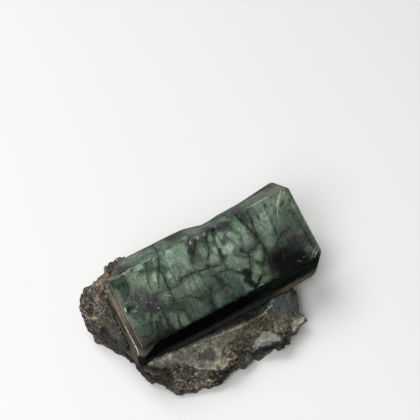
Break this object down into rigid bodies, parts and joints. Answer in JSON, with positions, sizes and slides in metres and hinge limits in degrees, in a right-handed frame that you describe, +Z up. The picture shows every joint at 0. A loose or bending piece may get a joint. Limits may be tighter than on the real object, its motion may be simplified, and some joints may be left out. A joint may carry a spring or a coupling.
{
  "type": "emerald in matrix",
  "caption": "Polished hexagonal emerald crystal lying in a broken, flat-based slab of dark mica schist; a mineral specimen for display.",
  "frame": {"origin": "on the slab's flat sawn underside, near its middle and under the crystal", "axes": "+X along the crystal from its cut end to its overhanging worn end, +Z up, -Y towards the front ledge and the broad polished face"},
  "size_m": [0.1104, 0.0782, 0.0446],
  "materials": {
    "emerald": "cloudy, veined green beryl with a waxy polish",
    "mica_schist": "rough dark schist with glinting mica flakes"
  },
  "bodies": {
    "root": {"emerald_crystal": "emerald", "schist_matrix": "mica_schist"}
  },
  "joints": []
}
